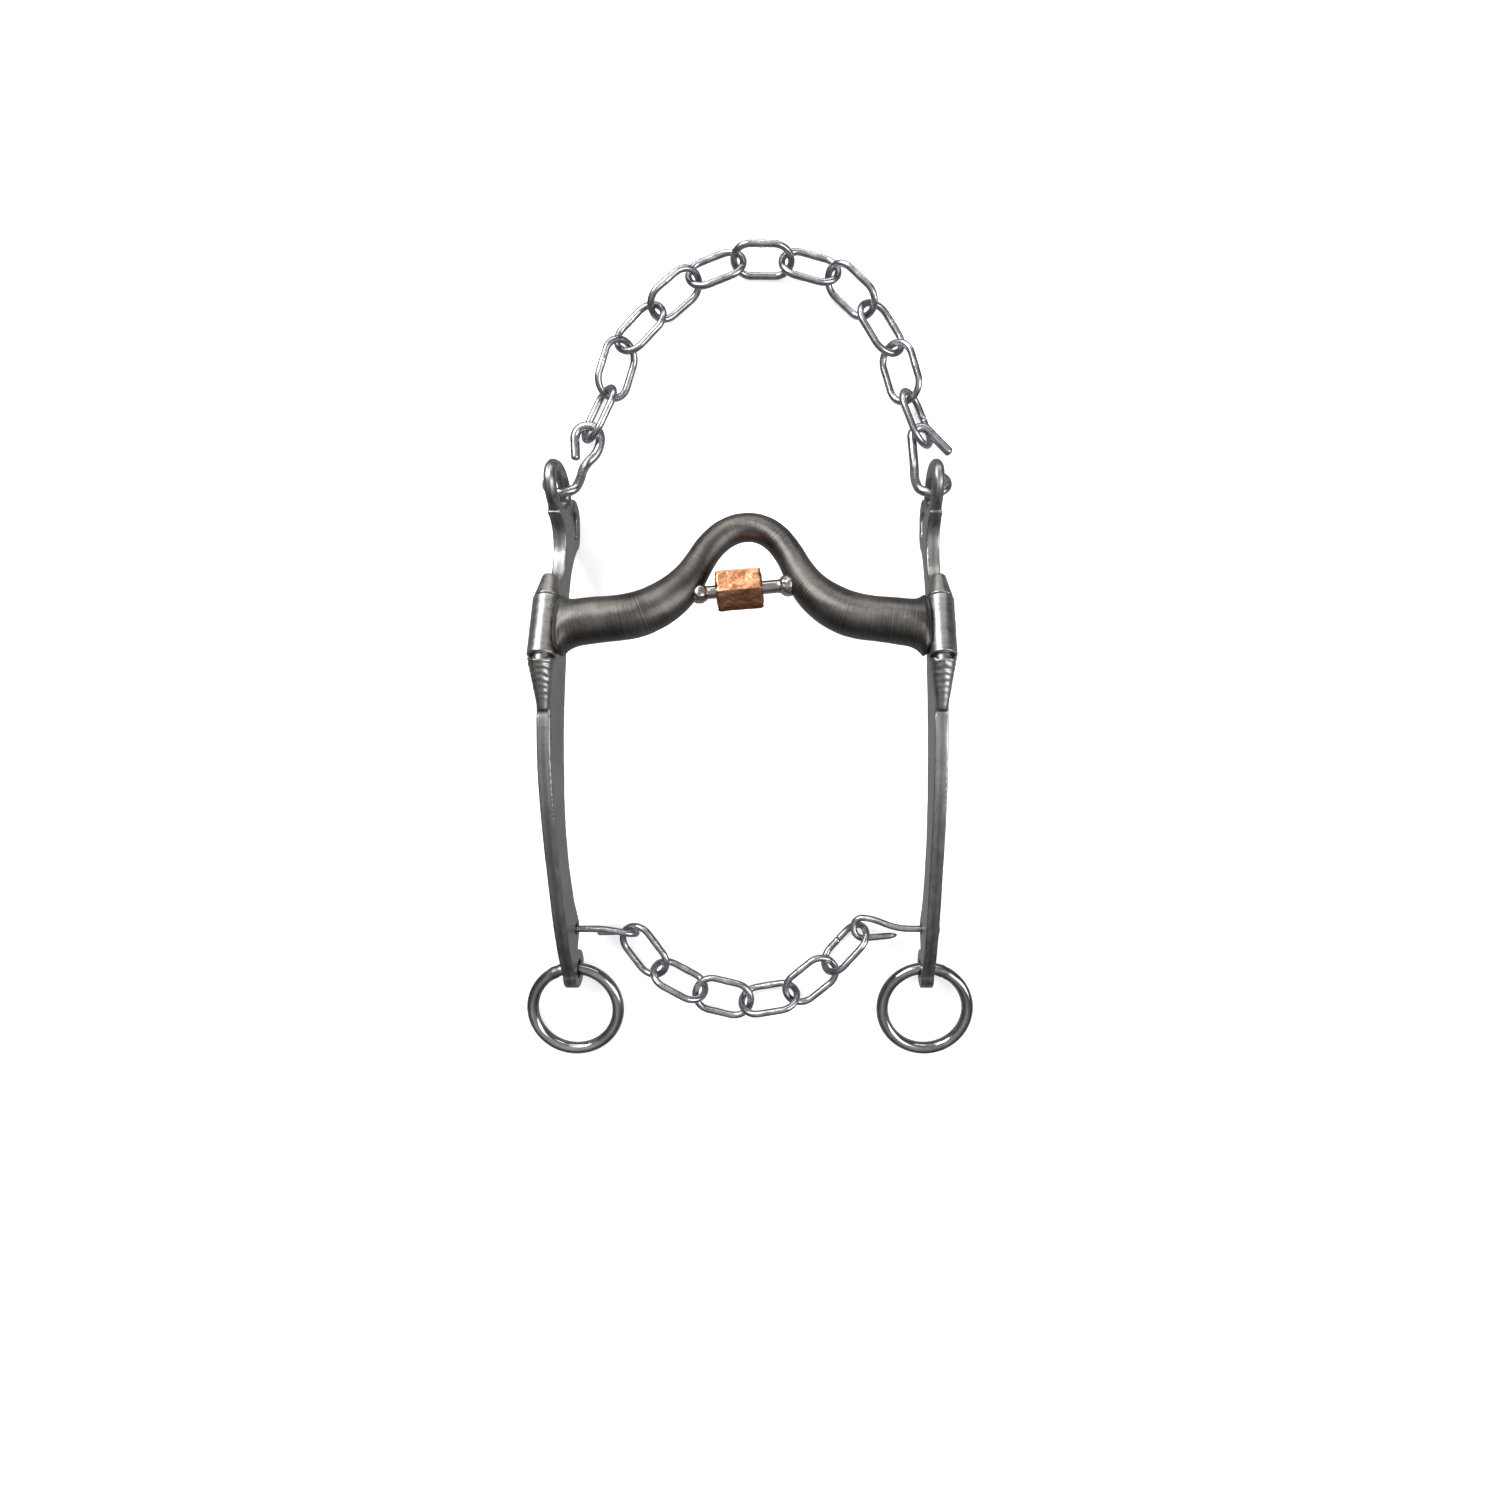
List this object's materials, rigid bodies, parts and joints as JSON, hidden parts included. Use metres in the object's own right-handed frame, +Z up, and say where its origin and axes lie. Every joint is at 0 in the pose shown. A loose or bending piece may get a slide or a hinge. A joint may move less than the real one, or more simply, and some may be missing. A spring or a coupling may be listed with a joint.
{
  "type": "curb bit",
  "caption": "Loose-cheek curb bit with a high port, a copper roller, swivelling shanks, rein rings and hook-on curb and tie chains.",
  "frame": {"origin": "bottom middle of the bit as it lies on a bench", "axes": "+X to the rider's right, +Y towards the headstall end, +Z up off the bench"},
  "size_m": [0.166, 0.2959, 0.0493],
  "materials": {
    "iron": "dark, worn bare, fine crosswise scratches",
    "sleeve_steel": "satin grey, turned",
    "weld_steel": "bright weld metal",
    "copper": "worn bright copper, red-brown in the hollows",
    "shank_steel": "satin grey, browner along the edges",
    "pin_steel": "plain",
    "ring_steel": "polished",
    "hook_wire": "zinc plated, bright",
    "chain_wire": "zinc plated, bright"
  },
  "bodies": {
    "mouthpiece": {"mouthpiece_bar": "iron", "sleeve_left": "sleeve_steel", "sleeve_right": "sleeve_steel", "roller_axle": "weld_steel"},
    "cheek_left": {"shank_left": "shank_steel", "swivel_pin_left": "pin_steel"},
    "cheek_right": {"shank_right": "shank_steel", "swivel_pin_right": "pin_steel"},
    "roller": {"copper_roller": "copper"},
    "rein_ring_left": {"rein_ring_left": "ring_steel"},
    "rein_ring_right": {"rein_ring_right": "ring_steel"},
    "curb_hook_left": {"curb_hook_left": "hook_wire"},
    "curb_hook_right": {"curb_hook_right": "hook_wire"},
    "curb_link_01": {"curb_link_01": "chain_wire"},
    "curb_link_02": {"curb_link_02": "chain_wire"},
    "curb_link_03": {"curb_link_03": "chain_wire"},
    "curb_link_04": {"curb_link_04": "chain_wire"},
    "curb_link_05": {"curb_link_05": "chain_wire"},
    "curb_link_06": {"curb_link_06": "chain_wire"},
    "curb_link_07": {"curb_link_07": "chain_wire"},
    "curb_link_08": {"curb_link_08": "chain_wire"},
    "curb_link_09": {"curb_link_09": "chain_wire"},
    "curb_link_10": {"curb_link_10": "chain_wire"},
    "curb_link_11": {"curb_link_11": "chain_wire"},
    "tie_hook_left": {"tie_hook_left": "hook_wire"},
    "tie_hook_right": {"tie_hook_right": "hook_wire"},
    "tie_link_01": {"tie_link_01": "chain_wire"},
    "tie_link_02": {"tie_link_02": "chain_wire"},
    "tie_link_03": {"tie_link_03": "chain_wire"},
    "tie_link_04": {"tie_link_04": "chain_wire"},
    "tie_link_05": {"tie_link_05": "chain_wire"},
    "tie_link_06": {"tie_link_06": "chain_wire"}
  },
  "joints": [
    {"name": "cheek_left_swivel", "type": "hinge", "parent": "mouthpiece", "child": "cheek_left", "pos_m": [-0.065, 0.0087, 0.0406], "axis": [0, 0.9252, -0.3795], "range_deg": [-5, 0.4]},
    {"name": "cheek_right_swivel", "type": "hinge", "parent": "mouthpiece", "child": "cheek_right", "pos_m": [0.065, 0.0087, 0.0406], "axis": [0, 0.9252, -0.3795], "range_deg": [-0.4, 5]},
    {"name": "roller_turn", "type": "hinge", "parent": "mouthpiece", "child": "roller", "pos_m": [-0.0015, 0.02184, 0.03521], "axis": [0.9945, 0.0967, -0.0397], "continuous": true},
    {"name": "rein_ring_left_swing", "type": "hinge", "parent": "cheek_left", "child": "rein_ring_left", "pos_m": [-0.065, -0.1133, 0.0066], "axis": [-1, 0, 0], "range_deg": [0, 125]},
    {"name": "rein_ring_right_swing", "type": "hinge", "parent": "cheek_right", "child": "rein_ring_right", "pos_m": [0.065, -0.1133, 0.0066], "axis": [-1, 0, 0], "range_deg": [0, 125]},
    {"name": "curb_hook_left_lift", "type": "hinge", "parent": "mouthpiece", "child": "curb_hook_left", "pos_m": [-0.065, 0.06197, 0.01526], "axis": [1, 0, 0], "range_deg": [0, 25]},
    {"name": "curb_hook_right_lift", "type": "hinge", "parent": "mouthpiece", "child": "curb_hook_right", "pos_m": [0.065, 0.06197, 0.01526], "axis": [1, 0, 0], "range_deg": [0, 28]},
    {"name": "curb_link_01_roll", "type": "hinge", "parent": "curb_hook_left", "child": "curb_link_01", "pos_m": [-0.05403, 0.08892, 0.0068], "axis": [0.4329, 0.9015, 0], "range_deg": [-8, 8]},
    {"name": "curb_link_02_roll", "type": "hinge", "parent": "curb_hook_left", "child": "curb_link_02", "pos_m": [-0.04763, 0.10505, 0.0068], "axis": [0.3036, 0.9528, 0], "range_deg": [-8, 8]},
    {"name": "curb_link_03_roll", "type": "hinge", "parent": "curb_hook_left", "child": "curb_link_03", "pos_m": [-0.03899, 0.11964, 0.0068], "axis": [0.6896, 0.7242, 0], "range_deg": [-8, 8]},
    {"name": "curb_link_04_roll", "type": "hinge", "parent": "curb_hook_left", "child": "curb_link_04", "pos_m": [-0.02636, 0.13158, 0.0068], "axis": [0.7613, 0.6484, 0], "range_deg": [-8, 8]},
    {"name": "curb_link_05_roll", "type": "hinge", "parent": "curb_hook_left", "child": "curb_link_05", "pos_m": [-0.01165, 0.14041, 0.0068], "axis": [0.9305, 0.3662, 0], "range_deg": [-8, 8]},
    {"name": "curb_link_06_roll", "type": "hinge", "parent": "curb_hook_left", "child": "curb_link_06", "pos_m": [0.00515, 0.14352, 0.0068], "axis": [1, -0.0079, 0], "range_deg": [-8, 8]},
    {"name": "curb_link_07_roll", "type": "hinge", "parent": "curb_hook_right", "child": "curb_link_07", "pos_m": [0.02224, 0.14114, 0.0068], "axis": [0.9641, -0.2657, 0], "range_deg": [-8, 8]},
    {"name": "curb_link_08_roll", "type": "hinge", "parent": "curb_hook_right", "child": "curb_link_08", "pos_m": [0.03695, 0.13286, 0.0068], "axis": [0.7275, -0.6861, 0], "range_deg": [-8, 8]},
    {"name": "curb_link_09_roll", "type": "hinge", "parent": "curb_hook_right", "child": "curb_link_09", "pos_m": [0.04786, 0.11949, 0.0068], "axis": [0.5258, -0.8506, 0], "range_deg": [-8, 8]},
    {"name": "curb_link_10_roll", "type": "hinge", "parent": "curb_hook_right", "child": "curb_link_10", "pos_m": [0.05494, 0.10376, 0.0068], "axis": [0.2885, -0.9575, 0], "range_deg": [-8, 8]},
    {"name": "curb_link_11_roll", "type": "hinge", "parent": "curb_hook_right", "child": "curb_link_11", "pos_m": [0.06068, 0.08735, 0.0068], "axis": [0.3706, -0.9288, 0], "range_deg": [-5, 5]},
    {"name": "tie_hook_left_lift", "type": "hinge", "parent": "mouthpiece", "child": "tie_hook_left", "pos_m": [-0.065, -0.0977, 0.0108], "axis": [-1, 0, 0], "range_deg": [0, 25]},
    {"name": "tie_hook_right_lift", "type": "hinge", "parent": "mouthpiece", "child": "tie_hook_right", "pos_m": [0.065, -0.0977, 0.0108], "axis": [-1, 0, 0], "range_deg": [0, 28]},
    {"name": "tie_link_01_roll", "type": "hinge", "parent": "tie_hook_left", "child": "tie_link_01", "pos_m": [-0.03882, -0.10669, 0.0068], "axis": [0.5954, -0.8034, 0], "range_deg": [-3, 3]},
    {"name": "tie_link_02_roll", "type": "hinge", "parent": "tie_hook_left", "child": "tie_link_02", "pos_m": [-0.02598, -0.1178, 0.0068], "axis": [0.8809, -0.4732, 0], "range_deg": [-5, 5]},
    {"name": "tie_link_03_roll", "type": "hinge", "parent": "tie_hook_left", "child": "tie_link_03", "pos_m": [-0.00985, -0.12392, 0.0068], "axis": [0.9732, -0.23, 0], "range_deg": [-5, 5]},
    {"name": "tie_link_04_roll", "type": "hinge", "parent": "tie_hook_right", "child": "tie_link_04", "pos_m": [0.00721, -0.12454, 0.0068], "axis": [0.9874, 0.1584, 0], "range_deg": [-5, 5]},
    {"name": "tie_link_05_roll", "type": "hinge", "parent": "tie_hook_right", "child": "tie_link_05", "pos_m": [0.02256, -0.11768, 0.0068], "axis": [0.7771, 0.6293, 0], "range_deg": [-5, 5]},
    {"name": "tie_link_06_roll", "type": "hinge", "parent": "tie_hook_right", "child": "tie_link_06", "pos_m": [0.03521, -0.1058, 0.0068], "axis": [0.6768, 0.7362, 0], "range_deg": [-5, 5]}
  ],
  "couplings": [
    {"joint": "curb_hook_right_lift", "follows": "curb_hook_left_lift", "ratio": 1},
    {"joint": "tie_hook_right_lift", "follows": "tie_hook_left_lift", "ratio": 1}
  ]
}
